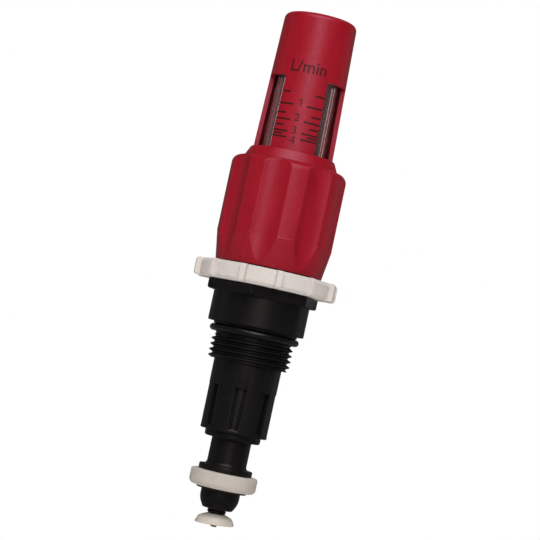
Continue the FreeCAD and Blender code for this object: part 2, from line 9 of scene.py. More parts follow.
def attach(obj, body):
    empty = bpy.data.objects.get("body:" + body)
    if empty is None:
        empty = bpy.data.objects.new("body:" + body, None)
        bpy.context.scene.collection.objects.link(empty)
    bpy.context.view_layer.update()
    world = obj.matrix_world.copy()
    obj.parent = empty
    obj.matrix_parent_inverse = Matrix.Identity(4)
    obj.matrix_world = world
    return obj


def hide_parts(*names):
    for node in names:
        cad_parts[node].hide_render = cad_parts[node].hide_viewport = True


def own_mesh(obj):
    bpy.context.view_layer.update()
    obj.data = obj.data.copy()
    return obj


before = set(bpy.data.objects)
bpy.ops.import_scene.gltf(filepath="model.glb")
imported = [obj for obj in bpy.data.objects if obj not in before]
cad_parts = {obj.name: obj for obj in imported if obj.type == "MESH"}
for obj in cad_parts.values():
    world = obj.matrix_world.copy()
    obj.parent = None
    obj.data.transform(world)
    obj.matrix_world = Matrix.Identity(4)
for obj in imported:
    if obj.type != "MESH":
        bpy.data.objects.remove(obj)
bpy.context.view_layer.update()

# Flow meter insert for a heating manifold. Shapes are worked out in millimetres, on the axes of the
# frame: +Z up the axis, angles in plan counted from the front, -Y, towards +X.
MM = 0.001
WHITE = (1.0, 1.0, 1.0, 1.0)

# ---- driving dimensions ---------------------------------------------------------------------------
# A name that the part's source also has keeps its value.

THREAD_Z = (-6.35, 0.5)
RELIEF_R, RELIEF_TOP_Z = 10.15, 0.7
SEAT_NECK_R, SEAT_NECK_TOP_Z = 10.35, 2.6
O_RING_R, O_RING_Z = 12.1, (0.8, 2.6)
UNDERCUT_R, UNDERCUT_Z = 11.3, 2.75
SHOULDER_R, SHOULDER_Z = 13.0, 3.4
HEX_FLAT_R, HEX_CORNER_R, HEX_CORNER_AT, HEX_Z = 13.5, 15.55, 47.3, (11.5, 14.2)
HEX_BOTTOM_ROUND = 0.8
RING_SEAT_R, NECK_R, NECK_TOP_Z = 12.4, 12.0, 35.0
BEAD_R, BEAD_Z, BEAD_EDGE_Z = 12.7, (19.15, 19.42), 19.32
BODY_BORE_R = 9.0
GUIDE_R, GUIDE_BORE_R, GUIDE_END_Z = (9.15, 9.0), 5.375, -25.0
BODY_END_R, BODY_END_Z, BODY_END_ROUND = 7.5, -26.75, 0.6
SLOT_COUNT, SLOT_FIRST_AT, SLOT_Z = 8, -2.0, (-24.4, -13.0)
SLOT_HALF, SLOT_RIB_HALF = (1.2, 1.6), (0.55, 0.85)          # bottom and top
SLOT_FLOOR_R, SLOT_RIB_R = 7.3, 8.35

STEM_R, STEM_BORE_R, ROD_BORE_R = 5.325, 3.4, 1.55
STEM_NECK_R, STEM_NECK_Z = 4.35, (0.5, 3.9)
STEM_HEAD_R, STEM_HEAD_TOP_Z = 5.32, 6.0
FLANGE_R, FLANGE_Z, FLANGE_FILLET = 7.2, (-35.65, -34.1), 1.0
SEAL_R, SEAL_Z, SEAL_ROUNDS = 9.0, (-40.0, -35.65), (1.4, 0.6)       # bottom and top
WASHER_R, WASHER_Z = 6.7, -40.5
SPIGOT_R, SPIGOT_THREAD_R, SPIGOT_END_Z = 4.2, 3.4, -44.0
GUIDE_BUSH_R = 2.2
RETAINER_R, RETAINER_END_R, RETAINER_END_Z, RETAINER_END_ROUND = 5.25, 4.0, -45.5, 0.5
ROD_R, ROD_Z = 0.85, (-50.3, 75.0)
DISC_R, DISC_Z, DISC_TILT, DISC_TILT_Z = 5.25, (-49.5, -46.7), 3.2, -48.9
HUB_R, HUB_TOP_Z, HUB_BEAD_R, HUB_BEAD_Z = 2.2, -45.6, 2.5, (-46.3, -45.9)
INDICATOR_R, INDICATOR_Z = 5.6, (70.9, 75.4)
INDICATOR_HOLLOW_R, INDICATOR_HOLLOW_Z = 4.4, 72.4
SPRING_Z, SPRING_MEAN_R, SPRING_WIRE_R, SPRING_TURNS = (-29.5, 10.0), 2.35, 0.3, 9

GLASS_FOOT_R, GLASS_FOOT_Z = 10.7, (42.0, 43.6)
GLASS_R, GLASS_WALL, GLASS_TOP_Z, GLASS_TOP_ROUND = (8.8, 8.15), 1.5, 84.0, 2.0

KNOB_R, KNOB_BOTTOM_R, KNOB_Z, KNOB_CREASE_Z = 15.6, 14.4, (19.5, 47.9), 27.4
KNOB_TOP_ROUND = 2.2
SHELF_R, SHELF_Z, SHOULDER_TOP_R = 12.8, 48.2, 11.4
TUBE_R, TUBE_FOOT_Z, TUBE_WALL = (10.8, 9.78), 51.05, 1.2
HANDLE_TOP_Z, HANDLE_TOP_ROUND, HANDLE_TOP_THICKNESS = 88.4, 1.7, 1.6
CAVITY_R = 12.9
NUT_R, NUT_Z = 12.6, (37.2, 44.7)
NUT_STEP = (0.8, 1.4)               # how far below the nut the cavity's cone starts and ends
FLUTE_COUNT, FLUTE_FIRST_AT = 8, 33.1
FLUTE_FLOOR_R, FLUTE_SCOOP_R, FLUTE_RUNOUT_ANGLE = 14.2, 7.5, 3.0
WINDOW_COUNT, WINDOW_FIRST_AT, WINDOW_ANGLE, WINDOW_Z = 3, 56.65, 53.7, (51.1, 70.75)

RING_Z, RING_R, RING_RIB_R, RING_CHAMFER = (14.3, 19.05), 18.15, 19.5, 0.8
RING_RIB_COUNT, RING_RIB_FIRST_AT, RING_RIB_HALF, RING_PLAY = 12, 10.2, 0.875, 0.05

# ---- finer forms, which the part's source leaves out or makes plainer -----------------------------

THREAD_ROOT_R, THREAD_DEPTH, THREAD_PITCH = 10.08, 0.92, 1.5
THREAD_CREST_Z = -0.855             # height of a crest at the front
THREAD_FLANK = (0.10, 0.39)         # from the crest's edge to the root, as shares of the pitch
LEAD_IN_R, LEAD_IN_SLOPE = 10.35, 1.1        # cone that cuts the thread back at its lower end
RUN_OUT_Z, RUN_OUT_SLOPE = 0.1, 1.4          # cone that ends it above
SLOT_LIP_HEIGHT = 0.8
RETAINER_CORNER_HEIGHT, RETAINER_CORNER_ROUND = 2.3, 4.6
FLASH_RISE, FLASH_BELOW, FLASH_ABOVE = 0.10, 0.08, 0.24     # parting line on the knob's crease
FLUTE_BLEND, HEX_BLEND = 0.14, 0.12          # rounding where a flute or a flat meets the surface
FLUTE_EDGE_ANGLES, PLAIN_EDGE_ANGLE = (0.7, 14), 12.0        # half angles: limits, and off the knob
CREASE_ANGLE = 38
WELD_DISTANCE = 0.0003


# ---- surfaces -------------------------------------------------------------------------------------

def smooth_min(a, b, blend):
    """The smaller of two arrays, less (blend - |a - b|)^2 / (4 blend) where they come within blend
    of each other, which rounds off the corner between them."""
    return np.minimum(a, b) - np.maximum(blend - np.abs(a - b), 0) ** 2 / (4 * blend)


def smooth_step(x, low, high):
    """From 0 at low to 1 at high, level at both: t^2 (3 - 2 t), for a share t of the way."""
    t = np.clip((x - low) / (high - low), 0, 1)
    return t * t * (3 - 2 * t)


def rounded(corners, closed=True, steps=5, support=0.12):
    """Outline (r, z) through corners (r, z) or (r, z, radius).

    A rounded corner swings from one tangent point to the other about its centre, which lies on the
    corner's bisector; a support point on each side keeps the flats beside it flat."""
    at = np.array([corner[:2] for corner in corners], float)
    back, ahead = np.roll(at, 1, 0) - at, np.roll(at, -1, 0) - at
    runs = np.linalg.norm(back, axis=1), np.linalg.norm(ahead, axis=1)
    back, ahead = back / runs[0][:, None], ahead / runs[1][:, None]
    line = []
    for i, corner in enumerate(corners):
        if not closed and i in (0, len(corners) - 1):
            line.append(at[i:i + 1])
            continue
        radius = corner[2] if len(corner) > 2 else 0
        half = math.acos(np.clip(back[i] @ ahead[i], -1, 1)) / 2
        reach = radius / math.tan(half)
        near = [at[i] + back[i] * (reach + min(support, 0.3 * runs[0][i]))]
        far = [at[i] + ahead[i] * (reach + min(support, 0.3 * runs[1][i]))]
        if radius:
            bisector = (back[i] + ahead[i]) / np.linalg.norm(back[i] + ahead[i])
            centre = at[i] + bisector * radius / math.sin(half)
            swing = math.pi - 2 * half
            share = np.linspace(0, 1, steps + 1)[:, None]
            arc = (np.sin((1 - share) * swing) * (at[i] + back[i] * reach - centre)
                   + np.sin(share * swing) * (at[i] + ahead[i] * reach - centre)) / math.sin(swing)
            line.append(np.concatenate([near, centre + arc, far]))
        else:
            line.append(np.concatenate([near, at[i:i + 1], far]))
    return np.concatenate(line)


def spread(line, step):
    """The same open outline with no stretch longer than step."""
    runs = np.linalg.norm(np.diff(line, axis=0), axis=1)
    counts = np.maximum(np.ceil(runs / step), 1).astype(int)
    first = np.repeat(np.cumsum(counts) - counts, counts)
    share = ((np.arange(counts.sum()) - first) / np.repeat(counts, counts))[:, None]
    start, end = np.repeat(line[:-1], counts, 0), np.repeat(line[1:], counts, 0)
    return np.concatenate([start + share * (end - start), line[-1:]])


def in_plan(angle, radius, z):
    """Points at an angle in degrees, a radius and a height, each an array of the grid's shape."""
    angle, radius, z = np.broadcast_arrays(np.radians(angle), radius, z)
    return np.stack([radius * np.sin(angle), -radius * np.cos(angle), z], -1)


def quads(index, wrap_columns=True, wrap_rows=True):
    """Corners of a grid's faces. Angles grow with the column and an outline runs anticlockwise with
    the row, so that faces look outwards."""
    beside, above = np.roll(index, -1, 0), np.roll(index, -1, 1)
    faces = np.stack([index, beside, np.roll(beside, -1, 1), above], -1)
    faces = faces if wrap_columns else faces[:-1]
    return faces if wrap_rows else faces[:, :-1]


def numbered(points):
    """The number of each point of a grid, in the grid's shape."""
    return np.arange(points[..., 0].size).reshape(points.shape[:-1])


def turned(corners, closed=True, columns=160, steps=5):
    """Surface of revolution: the outline's (r, z) carried round the axis. Stretches that lie on the
    axis get no faces."""
    line = rounded(corners, closed, steps)
    angle = np.linspace(0, 360, columns, endpoint=False)[:, None]
    points = in_plan(angle, line[:, 0], line[:, 1])
    faces = quads(numbered(points), wrap_rows=closed)
    off_axis = (line[:, 0] + np.roll(line[:, 0], -1) > 1e-6)[:faces.shape[1]]
    return points, faces[:, off_axis]


def piece(name, surface, body, slot, finish, *nodes, crease=CREASE_ANGLE):
    """Mesh from points in millimetres and faces. Seams and poles are welded, edges sharper than the
    crease angle stay sharp, and it rides on its body in place of the nodes."""
    points, faces = surface
    mesh = bpy.data.meshes.new(name)
    mesh.from_pydata(np.reshape(points, (-1, 3)) * MM, [], np.reshape(faces, (-1, 4)).tolist())
    shell = bmesh.new()
    shell.from_mesh(mesh)
    bmesh.ops.remove_doubles(shell, verts=shell.verts, dist=WELD_DISTANCE * MM)
    shell.to_mesh(mesh)
    shell.free()
    return dress(mesh, body, finish, nodes, crease)


def dress(mesh, body, finish, nodes=(), crease=CREASE_ANGLE):
    """Object with its finish and its edges, which rides on its body in place of the nodes."""
    mesh.shade_smooth()
    mesh.set_sharp_from_angle(angle=math.radians(crease))
    mesh.materials.append(finish)
    made = bpy.data.objects.new(mesh.name, mesh)
    bpy.context.scene.collection.objects.link(made)
    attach(made, body)
    if nodes:
        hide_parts(*nodes)
    return made


# ---- finishes -------------------------------------------------------------------------------------

NOISE_ROUGHNESS = 0.55


class Value:
    """A socket that takes part in arithmetic: each operator adds one Math node."""

    def __init__(self, finish, socket):
        self.finish, self.socket = finish, socket

    def math(self, operation, *values):
        return self.finish.node("ShaderNodeMath", {"operation": operation}, dict(enumerate(values)))

    def __add__(self, other):
        return self.math("ADD", self, other)

    def __sub__(self, other):
        return self.math("SUBTRACT", self, other)

    def __rsub__(self, other):
        return self.math("SUBTRACT", other, self)

    def __mul__(self, other):
        return self.math("MULTIPLY", self, other)

    def __truediv__(self, other):
        return self.math("DIVIDE", self, other)

    def root(self):
        return self.math("SQRT", self)

    def larger(self, other):
        return self.math("MAXIMUM", self, other)

    def clamped(self, low, high):
        return self.math("MINIMUM", self.larger(low), high)

    __radd__ = __add__
    __rmul__ = __mul__


class Finish:
    """A node tree under construction, of a material or of the world."""

    def __init__(self, owner):
        owner.use_nodes = True
        self.owner, self.tree = owner, owner.node_tree
        self.tree.nodes.clear()

    def node(self, kind, settings=(), sockets=(), output=0):
        """Adds a node: its settings first, then the values or links of its sockets."""
        made = self.tree.nodes.new(kind)
        for setting, value in dict(settings).items():
            if setting == "stops":
                for stop, (place, colour) in zip(made.color_ramp.elements, value):
                    stop.position, stop.color = place, colour
            else:
                setattr(made, setting, value)
        for name, value in dict(sockets).items():
            if isinstance(value, Value):
                self.tree.links.new(value.socket, made.inputs[name])
            else:
                made.inputs[name].default_value = value
        return Value(self, made.outputs[output])

    def place(self):
        """Object coordinates, in metres."""
        return self.node("ShaderNodeTexCoord", output="Object")

    def along(self, axis):
        """Object coordinate along one axis."""
        return self.node("ShaderNodeSeparateXYZ", (), {0: self.place()}, output=axis)

    def noise(self, size_mm, detail=3.0, stretch=(1, 1, 1)):
        """Noise between 0 and 1 with features of about this size, drawn out along some axes."""
        place = self.node("ShaderNodeVectorMath", {"operation": "MULTIPLY"},
                          {0: self.place(), 1: tuple(1 / s for s in stretch)})
        return self.node("ShaderNodeTexNoise", {"noise_dimensions": "3D"},
                         {"Vector": place, "Scale": 1 / (size_mm * MM), "Detail": detail,
                          "Roughness": NOISE_ROUGHNESS})

    def mixed(self, share, one, other):
        """Colour between two colours."""
        return self.node("ShaderNodeMix", {"data_type": "RGBA"}, {0: share, 6: one, 7: other},
                         output=2)

    def bump(self, height, depth_mm):
        """Relief whose full height is the depth."""
        return self.node("ShaderNodeBump", (), {"Height": height, "Distance": depth_mm * MM,
                                                "Strength": 1.0})

    def surface(self, **sockets):
        """Principled shader, with a socket's spaces written as underscores."""
        named = {name.replace("_", " "): value for name, value in sockets.items()}
        return self.node("ShaderNodeBsdfPrincipled", (), named)

    def done(self, shader):
        """The material or world, with the shader at its output."""
        kind = "World" if isinstance(self.owner, bpy.types.World) else "Material"
        end = self.tree.nodes.new("ShaderNodeOutput" + kind)
        self.tree.links.new(shader.socket, end.inputs["Surface"])
        return self.owner


def linear(red, green, blue):
    """Colour as written on a 0 to 255 scale, in the linear values that the shaders take."""
    share = np.array([red, green, blue]) / 255
    lin = np.where(share <= 0.04045, share / 12.92, ((share + 0.055) / 1.055) ** 2.4)
    return (*lin.tolist(), 1.0)


def moulded(name, colour, shade, roughness, gloss, grain_mm, grain_depth, sheen=WHITE):
    """Moulded plastic: a spark-eroded grain in relief, faint flow clouds in colour and gloss."""
    finish = Finish(bpy.data.materials.new(name))
    clouds = finish.noise(3.2, 4.0, (1, 1, 3))
    grain = finish.noise(grain_mm, 2.0)
    speck = finish.noise(grain_mm * 3, 1.0)
    tint = ((clouds - 0.5) * 1.1 + (grain - 0.5) * 1.6 + 0.5).clamped(0, 1)
    skin = finish.surface(
        Base_Color=finish.mixed(tint, linear(*shade), linear(*colour)),
        Roughness=(clouds - 0.5) * 0.16 + (speck - 0.5) * 0.12 + roughness,
        Specular_IOR_Level=gloss, Specular_Tint=sheen,
        Normal=finish.bump(grain + speck * 0.6, grain_depth))
    return finish.done(skin)


def rubber(name, colour, shade, roughness, gloss):
    """Moulded rubber: matt, with a bloom in patches and fine lapping marks round the axis."""
    finish = Finish(bpy.data.materials.new(name))
    bloom = finish.noise(1.6, 5.0)
    marks = finish.noise(0.25, 2.0, (6, 6, 0.6))
    skin = finish.surface(
        Base_Color=finish.mixed(bloom, linear(*shade), linear(*colour)),
        Roughness=(bloom - 0.5) * 0.2 + roughness,
        Specular_IOR_Level=gloss,
        Normal=finish.bump(marks + bloom * 0.5, 0.02))
    return finish.done(skin)


def metal(name, colour, shade, roughness, mark_mm):
    """Drawn or turned metal: fine bands along the axis and a dull tarnish."""
    finish = Finish(bpy.data.materials.new(name))
    bands = finish.noise(mark_mm, 2.0, (40, 40, 1))
    tarnish = finish.noise(1.4, 4.0)
    skin = finish.surface(
        Base_Color=finish.mixed(tarnish, linear(*shade), linear(*colour)),
        Metallic=1.0,
        Roughness=(tarnish - 0.5) * 0.25 + roughness,
        Normal=finish.bump(bands, 0.008))
    return finish.done(skin)


def clear_plastic(name):
    """Clear moulded tube: glassy, with a breath of haze from the mould in patches."""
    finish = Finish(bpy.data.materials.new(name))
    haze = finish.noise(2.5, 3.0, (1, 1, 6))
    skin = finish.surface(
        Base_Color=finish.mixed(haze, linear(243, 210, 213), linear(251, 225, 225)),
        Roughness=(haze - 0.5) * 0.05 + 0.06,
        IOR=1.58, Transmission_Weight=0.955, Coat_Weight=1.0, Coat_Roughness=0.04,
        Normal=finish.bump(haze, 0.0015))
    return finish.done(skin)


def pad_ink(name):
    """Pad-printed ink: thin in places, so that a little red shows through."""
    finish = Finish(bpy.data.materials.new(name))
    cover = finish.noise(0.35, 3.0)
    skin = finish.surface(
        Base_Color=finish.mixed((cover * 1.6 - 0.25).clamped(0, 1), linear(74, 14, 18),
                                linear(34, 14, 14)),
        Roughness=cover * 0.2 + 0.42, Specular_IOR_Level=0.25,
        Normal=finish.bump(cover, 0.004))
    return finish.done(skin)


FINISHES = {
    "red_plastic": moulded("red_plastic_finish", (160, 13, 31), (137, 9, 25),
                           0.42, 0.34, 0.36, 0.045, (1.0, 0.78, 1.0, 1.0)),
    "black_plastic": moulded("black_plastic_finish", (21, 20, 20), (13, 13, 14),
                             0.38, 0.23, 0.24, 0.016, (1.0, 0.86, 0.84, 1.0)),
    "ring_plastic": moulded("ring_plastic_finish", (213, 205, 199), (201, 192, 185),
                            0.50, 0.30, 0.25, 0.010),
    "disc_plastic": moulded("disc_plastic_finish", (205, 197, 186), (196, 186, 173),
                            0.48, 0.30, 0.25, 0.008),
    "washer_plastic": moulded("washer_plastic_finish", (52, 40, 34), (40, 31, 27),
                              0.5, 0.25, 0.2, 0.008),
    "bush_plastic": moulded("bush_plastic_finish", (214, 208, 196), (204, 196, 182),
                            0.45, 0.35, 0.25, 0.008),
    "seal_rubber": rubber("seal_rubber_finish", (194, 185, 177), (182, 172, 163), 0.62, 0.25),
    "o_ring_rubber": rubber("o_ring_rubber_finish", (22, 21, 21), (15, 15, 15), 0.32, 0.38),
    "rod_brass": metal("rod_brass_finish", (190, 170, 110), (150, 130, 84), 0.34, 0.12),
    "spring_steel": metal("spring_steel_finish", (176, 174, 170), (140, 138, 134), 0.3, 0.1),
    "sight_glass": clear_plastic("sight_glass_finish"),
}
INK = pad_ink("scale_ink_finish")

NODE_FINISHES = {
    "black_plastic": ("spindle", "glass_nut"),
    "o_ring_rubber": ("stem_o_ring", "spindle_o_ring", "glass_o_ring"),
    "spring_steel": ("lift_stop_ring", "swivel_clip"),
    "bush_plastic": ("rod_guide_lower", "rod_guide_upper", "spring_seat"),
}
for slot_name, node_names in NODE_FINISHES.items():
    for node_name in node_names:
        for material_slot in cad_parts[node_name].material_slots:
            material_slot.material = FINISHES[slot_name]


def add(name, surface, body, slot, *nodes, crease=CREASE_ANGLE):
    """A piece in its own slot's finish."""
    return piece(name, surface, body, slot, FINISHES[slot], *nodes, crease=crease)


# ---- red handle -----------------------------------------------------------------------------------

def tube_r(z):
    """Outside radius of the handle's tube, which tapers for the mould."""
    return np.interp(z, (TUBE_FOOT_Z, HANDLE_TOP_Z), TUBE_R)


def flute_columns():
    """Places across one flute's share of the knob, from -1 to 1 with the flute's edges at -0.5 and
    0.5, closer together at the edges."""
    half = np.array([0, .1, .2, .3, .37, .42, .46, .48, .492,
                     .5, .508, .52, .54, .58, .64, .72, .82, .91])
    return np.concatenate([[-1], -half[:0:-1], half])


def handle_surface():
    """One closed grid. Its outline runs up the outside to the axis and back down the inside.

    Outside radius = smaller of the outline's radius and the scoop's, which at an angle d from the
    flute's middle is c cos d - sqrt(s^2 - (c sin d)^2), for a scoop of radius s about an axis at
    radius c. Columns follow the flutes' edges, where cos d = (r^2 + c^2 - s^2) / (2 r c), up the knob
    and the windows' edges up the tube, and slide over from one to the other across the shoulder."""
    knob = spread(rounded([
        (CAVITY_R, KNOB_Z[0]), (KNOB_BOTTOM_R, KNOB_Z[0], 0.3),
        (KNOB_R, KNOB_CREASE_Z - FLASH_BELOW), (KNOB_R + FLASH_RISE, KNOB_CREASE_Z),
        (KNOB_R, KNOB_CREASE_Z + FLASH_ABOVE), (KNOB_R, KNOB_Z[1], KNOB_TOP_ROUND),
        (SHELF_R, SHELF_Z, 0.35), (SHOULDER_TOP_R, TUBE_FOOT_Z, 0.35),
        (TUBE_R[0], TUBE_FOOT_Z), (TUBE_R[0], TUBE_FOOT_Z + 9)], closed=False, steps=12)[:-1], 0.7)
    knob = knob[knob[:, 1] < WINDOW_Z[0] - 0.01]
    window_z = np.linspace(*WINDOW_Z, 14)
    above_windows = WINDOW_Z[1] + 1
    cap = rounded([(tube_r(above_windows), above_windows),
                   (TUBE_R[1], HANDLE_TOP_Z, HANDLE_TOP_ROUND), (0, HANDLE_TOP_Z)],
                  closed=False, steps=8)
    cavity_top = HANDLE_TOP_Z - HANDLE_TOP_THICKNESS
    ceiling = rounded([(0, cavity_top), (tube_r(cavity_top) - TUBE_WALL, cavity_top, 0.6),
                       (tube_r(above_windows) - TUBE_WALL, above_windows)], closed=False)
    cavity = rounded([
        (TUBE_R[0] - TUBE_WALL, TUBE_FOOT_Z - 0.5), (TUBE_R[0] - TUBE_WALL, NUT_Z[1]),
        (NUT_R, NUT_Z[1]), (NUT_R, NUT_Z[0] - NUT_STEP[0]), (CAVITY_R, NUT_Z[0] - NUT_STEP[1]),
        (CAVITY_R, KNOB_Z[0] + 0.4)], closed=False)
    outside = np.stack([tube_r(window_z), window_z], -1)
    inside = np.stack([tube_r(window_z) - TUBE_WALL, window_z], -1)[::-1]
    line = np.concatenate([knob, outside, cap, ceiling, inside, cavity])
    r, z = line.T
    first_out = len(knob)
    pole = first_out + len(outside) + len(cap) - 1
    first_in = pole + 1 + len(ceiling)

    scoop_axis_r = (FLUTE_FLOOR_R + FLUTE_SCOOP_R
                    + np.maximum(KNOB_CREASE_Z - z, 0) * math.tan(math.radians(FLUTE_RUNOUT_ANGLE)))
    edge = np.degrees(np.arccos(np.clip(
        (r ** 2 + scoop_axis_r ** 2 - FLUTE_SCOOP_R ** 2) / (2 * np.maximum(r, 1) * scoop_axis_r), 0, 1)))
    on_knob = (np.arange(len(line)) < first_out) & (z < SHELF_Z)
    edge = np.clip(np.where(on_knob, edge, PLAIN_EDGE_ANGLE), *FLUTE_EDGE_ANGLES)

    share = flute_columns()[:, None]
    sector = 360 / FLUTE_COUNT
    across = np.where(np.abs(share) <= 0.5, 2 * share * edge,
                      np.sign(share) * (edge + (2 * np.abs(share) - 1) * (sector / 2 - edge)))
    flutes = FLUTE_FIRST_AT + sector * np.arange(FLUTE_COUNT)
    by_flutes = (flutes[:, None, None] + across).reshape(-1, len(line))
    count = len(by_flutes)
    middles = WINDOW_FIRST_AT + np.arange(WINDOW_COUNT) * 360 / WINDOW_COUNT
    sides = (middles[:, None] + np.array([-0.5, 0.5]) * WINDOW_ANGLE).ravel()
    start = by_flutes[0, 0]
    columns = np.round((sides - start) / 360 * count).astype(int)
    by_windows = np.interp(np.arange(count), [0, *columns, count], [start, *sides, start + 360])
    to_windows = smooth_step(z, SHELF_Z + 0.1, TUBE_FOOT_Z)
    angle = by_flutes + (by_windows[:, None] - by_flutes) * to_windows

    off = np.radians((angle - FLUTE_FIRST_AT + sector / 2) % sector - sector / 2)
    inside_scoop = np.maximum(FLUTE_SCOOP_R ** 2 - (scoop_axis_r * np.sin(off)) ** 2, 0)
    scoop = np.where(inside_scoop > 0, scoop_axis_r * np.cos(off) - np.sqrt(inside_scoop), 99)
    radius = np.where(on_knob, smooth_min(r + 0 * angle, scoop, FLUTE_BLEND), r)
    radius = np.where(on_knob & (r < CAVITY_R + 0.4), r, radius)
    points = in_plan(angle, radius, z)

    index = numbered(points)
    faces = quads(index)
    keep = np.ones(faces.shape[:2], bool)
    keep[:, pole] = False
    open_columns = np.concatenate([np.arange(a, b) for a, b in columns.reshape(-1, 2)])
    steps = np.arange(len(window_z) - 1)
    keep[np.ix_(open_columns, first_out + steps)] = False
    keep[np.ix_(open_columns, first_in + steps)] = False

    out_row, in_row = first_out + np.arange(len(window_z)), first_in + np.arange(len(window_z))[::-1]
    jambs = [jamb(index[c], out_row, in_row, facing)
             for c, facing in zip(columns, (1, -1) * WINDOW_COUNT)]
    sills = [jamb(index[a:b + 1].T, (out_row[end],), (in_row[end],), facing, along=True)
             for a, b in columns.reshape(-1, 2) for end, facing in ((0, 1), (-1, -1))]
    return points, np.concatenate([faces[keep], *jambs, *sills])


def jamb(index, out_row, in_row, facing, along=False):
    """Faces through the wall along one side of a window, from the outside's points to the inside's:
    up a side, or with along, across the sill or the lintel."""
    out, inner = (index[out_row[0]], index[in_row[0]]) if along else (index[out_row], index[in_row])
    if along:
        out, inner = (out, inner) if facing > 0 else (inner, out)
        return np.stack([out[:-1], out[1:], inner[1:], inner[:-1]], -1)
    out, inner = (out, inner) if facing > 0 else (inner, out)
    return np.stack([out[:-1], inner[:-1], inner[1:], out[1:]], -1)


add("handle_skin", handle_surface(), "handle", "red_plastic", "handle_sleeve")


# ---- scale ----------------------------------------------------------------------------------------

PRINT_RISE = 0.025
# Height of the mark for each flow in litres a minute.
TICKS = {0.5: 66.31, 1.0: 63.10, 1.5: 60.64, 2.0: 58.93,
         2.5: 57.36, 3.0: 55.82, 3.5: 55.03, 4.0: 54.19}
TICK_THICKNESS = 0.48
WHOLE_TICKS = ((-36.2, -14.7), (5.6, 29.5))          # angles in plan, left and right of the figures
HALF_TICKS = ((-36.2, -22.6), (15.0, 29.5))
# Figure, height of its foot and height of the figure.
FIGURES = (("1", 63.05, 1.9), ("2", 58.8, 2.1), ("3", 55.42, 2.0), ("4", 52.6, 2.2))
ONE = ((0.26, 0), (0.42, 0), (0.42, 1), (0.31, 1), (0.0, 0.76), (0.0, 0.60), (0.26, 0.78))
FIGURES_AT = -5.2
UNIT_AT, UNIT_Z, UNIT_HEIGHT, UNIT_WIDTH = -3.3, 71.9, 3.3, 9.8
LETTER_CUT = 0.2                             # spacing of the cuts that let a letter bend
LETTER_WELD = 1e-4                           # in the font's own units


def tick_surface():
    """Thin bars bent round the tube: a flat section (thickness by rise) carried along an arc, and
    closed at both ends by drawing the section together."""
    spans = np.array([(z, *span) for flow, z in TICKS.items()
                      for span in (HALF_TICKS if flow % 1 else WHOLE_TICKS)])
    share = np.array([0, *np.linspace(0, 1, 10), 1])[:, None]
    size = np.array([0, *np.ones(10), 0])[:, None]
    rise = np.array([1, 1, -1, -1]) * PRINT_RISE
    tall = np.array([-0.5, 0.5, 0.5, -0.5]) * TICK_THICKNESS
    middle, start, end = (column[:, None, None] for column in spans.T)
    z = middle + tall * size
    points = in_plan(start + (end - start) * share, tube_r(z) + rise * size, z)
    index = numbered(points)
    return points, np.concatenate([quads(bar, wrap_columns=False).reshape(-1, 4) for bar in index])


def places(mesh):
    """Array (n, 3) of a mesh's points."""
    at = np.empty(3 * len(mesh.vertices))
    mesh.vertices.foreach_get("co", at)
    return at.reshape(-1, 3)


def letters_curve(name, text):
    """Flat letters of some thickness, a little bolder than the font draws them except the 4. The 1
    has a longer flag than the font gives it."""
    if text == "1":
        curve = bpy.data.curves.new(name, "CURVE")
        curve.dimensions, curve.fill_mode = "2D", "BOTH"
        line = curve.splines.new("POLY")
        line.points.add(len(ONE) - 1)
        line.points.foreach_set("co", np.pad(np.array(ONE, float), ((0, 0), (0, 2))).ravel())
        line.use_cyclic_u = True
    else:
        curve = bpy.data.curves.new(name, "FONT")
        curve.body, curve.offset = text, 0 if text == "4" else 0.006
    curve.extrude = 1.0
    return curve


def lettering(name, text, middle_at, bottom_z, height, width=None):
    """Letters as thin solids, cut across at even spacing and wrapped round the tube: a letter's x becomes
    the angle x / r, its y the height and its front and back a rise and a sink from the surface."""
    flat = bpy.data.objects.new(name, letters_curve(name, text))
    mesh = bpy.data.meshes.new_from_object(flat)
    bpy.data.objects.remove(flat)
    low, high = places(mesh).min(0), places(mesh).max(0)
    tall = height / (high - low)[1]
    wide = width / (high - low)[0] if width else tall
    letters = bmesh.new()
    letters.from_mesh(mesh)
    bmesh.ops.remove_doubles(letters, verts=letters.verts, dist=LETTER_WELD)
    for x in np.arange(low[0], high[0], LETTER_CUT / wide)[1:]:
        bmesh.ops.bisect_plane(letters, geom=letters.verts[:] + letters.edges[:] + letters.faces[:],
                               plane_co=(x, 0, 0), plane_no=(1, 0, 0))
    bmesh.ops.remove_doubles(letters, verts=letters.verts, dist=LETTER_WELD)
    bmesh.ops.dissolve_degenerate(letters, dist=LETTER_WELD, edges=letters.edges)
    letters.to_mesh(mesh)
    letters.free()
    x, y, front = places(mesh).T
    z = bottom_z + (y - low[1]) * tall
    radius = tube_r(z) + np.sign(front) * PRINT_RISE
    angle = middle_at + np.degrees((x - (low[0] + high[0]) / 2) * wide / radius)
    mesh.vertices.foreach_set("co", (in_plan(angle, radius, z) * MM).ravel())
    dress(mesh, "handle", INK)


piece("scale_ticks", tick_surface(), "handle", "red_plastic", INK)
for figure, figure_z, figure_height in FIGURES:
    lettering("scale_figure_" + figure, figure, FIGURES_AT, figure_z, figure_height)
lettering("scale_unit", "L/min", UNIT_AT, UNIT_Z, UNIT_HEIGHT, UNIT_WIDTH)


# ---- sight glass and what shows through it --------------------------------------------------------

